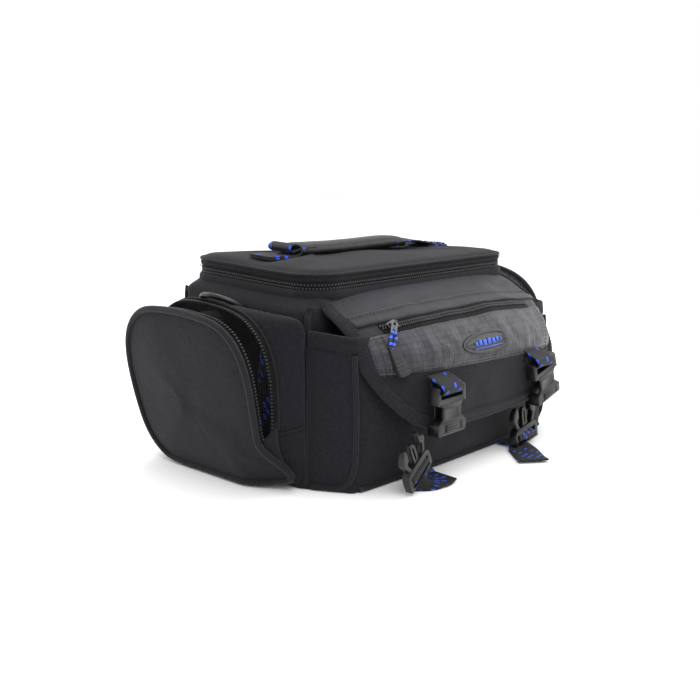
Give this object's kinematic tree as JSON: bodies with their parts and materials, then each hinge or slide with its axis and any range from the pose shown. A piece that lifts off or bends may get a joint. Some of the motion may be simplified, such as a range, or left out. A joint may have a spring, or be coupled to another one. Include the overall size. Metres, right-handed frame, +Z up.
{
  "type": "tail bag",
  "caption": "Soft padded tail bag with a zipped lid, a carry handle, a flap-covered front pocket closed by side-release buckles, and a zipped pocket on each end.",
  "frame": {"origin": "middle of the main compartment's base, on the surface that the bag stands on", "axes": "+Z up, +X from the left end pocket to the right one, -Y towards the front pocket and flap"},
  "size_m": [0.3813, 0.2611, 0.1787],
  "materials": {
    "body_fabric": "coated polyester pack cloth, fine plain weave, matt",
    "lining_fabric": "thin polyester lining, plain weave",
    "board": "polyethylene stiffener sheet",
    "piping_fabric": "bias-cut cloth over a round cord",
    "zip_tape": "woven polyester tape with nylon coil",
    "webbing": "ribbed polypropylene webbing with royal blue flecks",
    "flap_fabric": "thin coated nylon, slight sheen, creased",
    "ripstop": "ripstop nylon with a raised square grid, slight sheen",
    "binding": "ribbed grosgrain edge tape, stitched",
    "grip_wrap": "smooth leatherette wrap, satin",
    "buckle_plastic": "moulded acetal, semi gloss",
    "ring_plastic": "moulded nylon, semi gloss",
    "slider_metal": "die-cast zinc, black enamel",
    "pull_metal": "dark nickel plate",
    "pull_cord": "braided cord with blue flecks",
    "pull_rubber": "moulded soft grip",
    "badge_rubber": "moulded soft plastic plate, raised rim",
    "badge_blue": "raised enamel bars"
  },
  "bodies": {
    "bag": {"body_shell": "body_fabric", "body_lining": "lining_fabric", "base_board": "board", "body_piping": "piping_fabric", "rim_band": "body_fabric", "rim_zip_tape": "zip_tape", "lid_hinge_panel": "body_fabric", "front_pocket_shell": "body_fabric", "front_pocket_piping": "piping_fabric", "end_gusset_left": "body_fabric", "end_gusset_right": "body_fabric", "end_zip_fixed_left": "zip_tape", "end_zip_fixed_right": "zip_tape", "d_ring_webbing_left": "webbing", "d_ring_webbing_right": "webbing", "end_strap_left": "webbing", "end_strap_right": "webbing", "base_strap_left": "webbing", "base_strap_right": "webbing"},
    "lid": {"lid_shell": "body_fabric", "lid_lining": "lining_fabric", "lid_zip_tape": "zip_tape", "lid_seam_piping": "piping_fabric", "handle_anchor_left": "webbing", "handle_anchor_right": "webbing"},
    "handle": {"handle_webbing": "webbing", "handle_grip": "grip_wrap"},
    "flap": {"flap_panel": "flap_fabric", "flap_binding": "binding", "flap_pocket_panel": "ripstop", "flap_zip_tape": "zip_tape", "badge_plate": "badge_rubber", "badge_mark": "badge_blue", "buckle_tab_left": "webbing", "buckle_tab_right": "webbing"},
    "flap_slider": {"flap_slider": "slider_metal"},
    "flap_pull": {"flap_pull_tab": "pull_metal", "flap_pull_cord": "pull_cord", "flap_pull_grip": "pull_rubber"},
    "panel_left": {"end_panel_left": "body_fabric", "end_piping_left": "piping_fabric", "end_zip_moving_left": "zip_tape"},
    "panel_right": {"end_panel_right": "body_fabric", "end_piping_right": "piping_fabric", "end_zip_moving_right": "zip_tape"},
    "ring_left": {"d_ring_left": "ring_plastic"},
    "ring_right": {"d_ring_right": "ring_plastic"},
    "lid_slider_front": {"lid_slider_front": "slider_metal"},
    "lid_slider_rear": {"lid_slider_rear": "slider_metal"},
    "lid_pull_front": {"lid_pull_front": "pull_metal"},
    "lid_pull_rear": {"lid_pull_rear": "pull_metal"},
    "end_slider_left": {"end_slider_left": "slider_metal"},
    "end_slider_right": {"end_slider_right": "slider_metal"},
    "end_pull_left": {"end_pull_left": "pull_metal"},
    "end_pull_right": {"end_pull_right": "pull_metal"},
    "female_left": {"female_buckle_left": "buckle_plastic"},
    "female_right": {"female_buckle_right": "buckle_plastic"},
    "male_left": {"male_buckle_left": "buckle_plastic"},
    "male_right": {"male_buckle_right": "buckle_plastic"}
  },
  "joints": [
    {"name": "lid_hinge", "type": "hinge", "parent": "bag", "child": "lid", "pos_m": [0, 0.075, 0.1473], "axis": [-1, 0, 0], "range_deg": [0, 110]},
    {"name": "handle_lift", "type": "slide", "parent": "lid", "child": "handle", "axis": [0, 0, 1], "range_m": [0, 0.018]},
    {"name": "flap_hinge", "type": "hinge", "parent": "bag", "child": "flap", "pos_m": [0, -0.08, 0.139], "axis": [-1, 0, 0], "range_deg": [0, 100]},
    {"name": "flap_slider_run", "type": "slide", "parent": "flap", "child": "flap_slider", "axis": [1, 0, 0], "range_m": [0, 0.174]},
    {"name": "flap_pull_swing", "type": "hinge", "parent": "flap_slider", "child": "flap_pull", "pos_m": [-0.088, -0.1265, 0.1265], "axis": [-1, 0, 0], "range_deg": [0, 60]},
    {"name": "panel_left_hinge", "type": "hinge", "parent": "bag", "child": "panel_left", "pos_m": [-0.1731, 0.005, 0.004], "axis": [0, -1, 0], "range_deg": [-14.5, 45]},
    {"name": "panel_right_hinge", "type": "hinge", "parent": "bag", "child": "panel_right", "pos_m": [0.1731, 0.005, 0.004], "axis": [0, 1, 0], "range_deg": [0, 60]},
    {"name": "ring_left_hinge", "type": "hinge", "parent": "bag", "child": "ring_left", "pos_m": [-0.1395, 0.005, 0.127], "axis": [0, 1, 0], "range_deg": [0, 60]},
    {"name": "ring_right_hinge", "type": "hinge", "parent": "bag", "child": "ring_right", "pos_m": [0.1395, 0.005, 0.127], "axis": [0, -1, 0], "range_deg": [0, 60]},
    {"name": "lid_slider_front_run", "type": "slide", "parent": "bag", "child": "lid_slider_front", "axis": [0, -1, 0], "range_m": [0, 0.034]},
    {"name": "lid_slider_rear_run", "type": "slide", "parent": "bag", "child": "lid_slider_rear", "axis": [0, 1, 0], "range_m": [0, 0.034]},
    {"name": "lid_pull_front_swing", "type": "hinge", "parent": "lid_slider_front", "child": "lid_pull_front", "pos_m": [0.133, -0.0065, 0.1497], "axis": [0, -1, 0], "range_deg": [0, 30]},
    {"name": "lid_pull_rear_swing", "type": "hinge", "parent": "lid_slider_rear", "child": "lid_pull_rear", "pos_m": [0.133, 0.0065, 0.1497], "axis": [0, -1, 0], "range_deg": [0, 30]},
    {"name": "end_slider_left_run", "type": "slide", "parent": "bag", "child": "end_slider_left", "axis": [0, 0, 1], "range_m": [-0.008, 0.024]},
    {"name": "end_pull_left_swing", "type": "hinge", "parent": "end_slider_left", "child": "end_pull_left", "pos_m": [-0.165, 0.0807, 0.0529], "axis": [1, 0, 0], "range_deg": [0, 80]},
    {"name": "female_left_swing", "type": "hinge", "parent": "flap", "child": "female_left", "pos_m": [-0.064, -0.1462, 0.0755], "axis": [-1, 0, 0], "range_deg": [0, 70]},
    {"name": "end_slider_right_run", "type": "slide", "parent": "bag", "child": "end_slider_right", "axis": [0, 0, 1], "range_m": [-0.008, 0.024]},
    {"name": "end_pull_right_swing", "type": "hinge", "parent": "end_slider_right", "child": "end_pull_right", "pos_m": [0.165, 0.0807, 0.0529], "axis": [1, 0, 0], "range_deg": [0, 80]},
    {"name": "female_right_swing", "type": "hinge", "parent": "flap", "child": "female_right", "pos_m": [0.064, -0.1462, 0.0755], "axis": [-1, 0, 0], "range_deg": [0, 70]},
    {"name": "male_left_swing", "type": "hinge", "parent": "bag", "child": "male_left", "pos_m": [-0.08262, -0.14818, 0.01063], "axis": [0.8627, 0.0755, 0.5], "range_deg": [0, 30]},
    {"name": "male_right_swing", "type": "hinge", "parent": "bag", "child": "male_right", "pos_m": [0.063, -0.1402, 0.0022], "axis": [1, 0, 0], "range_deg": [0, 85]}
  ]
}
